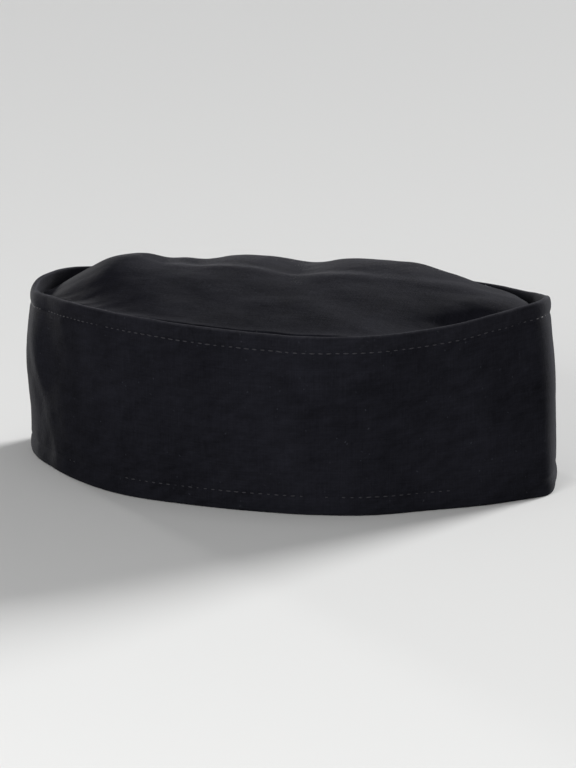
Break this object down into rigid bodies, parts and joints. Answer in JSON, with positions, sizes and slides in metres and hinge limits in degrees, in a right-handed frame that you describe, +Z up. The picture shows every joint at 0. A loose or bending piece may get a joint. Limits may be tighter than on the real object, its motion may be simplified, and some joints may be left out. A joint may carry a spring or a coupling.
{
  "type": "kippah",
  "caption": "Soft pillbox head covering in black cotton: an upright double-cloth band with a standing rim and a loosely puffed crown set in below it.",
  "frame": {"origin": "middle of the cap's plan, on the surface that the hem rests on", "axes": "+X along the longer way of the head towards the sharper end of the fold, +Z up through the crown"},
  "size_m": [0.2182, 0.1562, 0.078],
  "materials": {
    "band_cloth": "matt black brushed cotton, double thickness, topstitched near both edges",
    "crown_cloth": "matt black brushed cotton with a soft nap, gently creased"
  },
  "bodies": {
    "root": {"band": "band_cloth", "crown": "crown_cloth"}
  },
  "joints": []
}
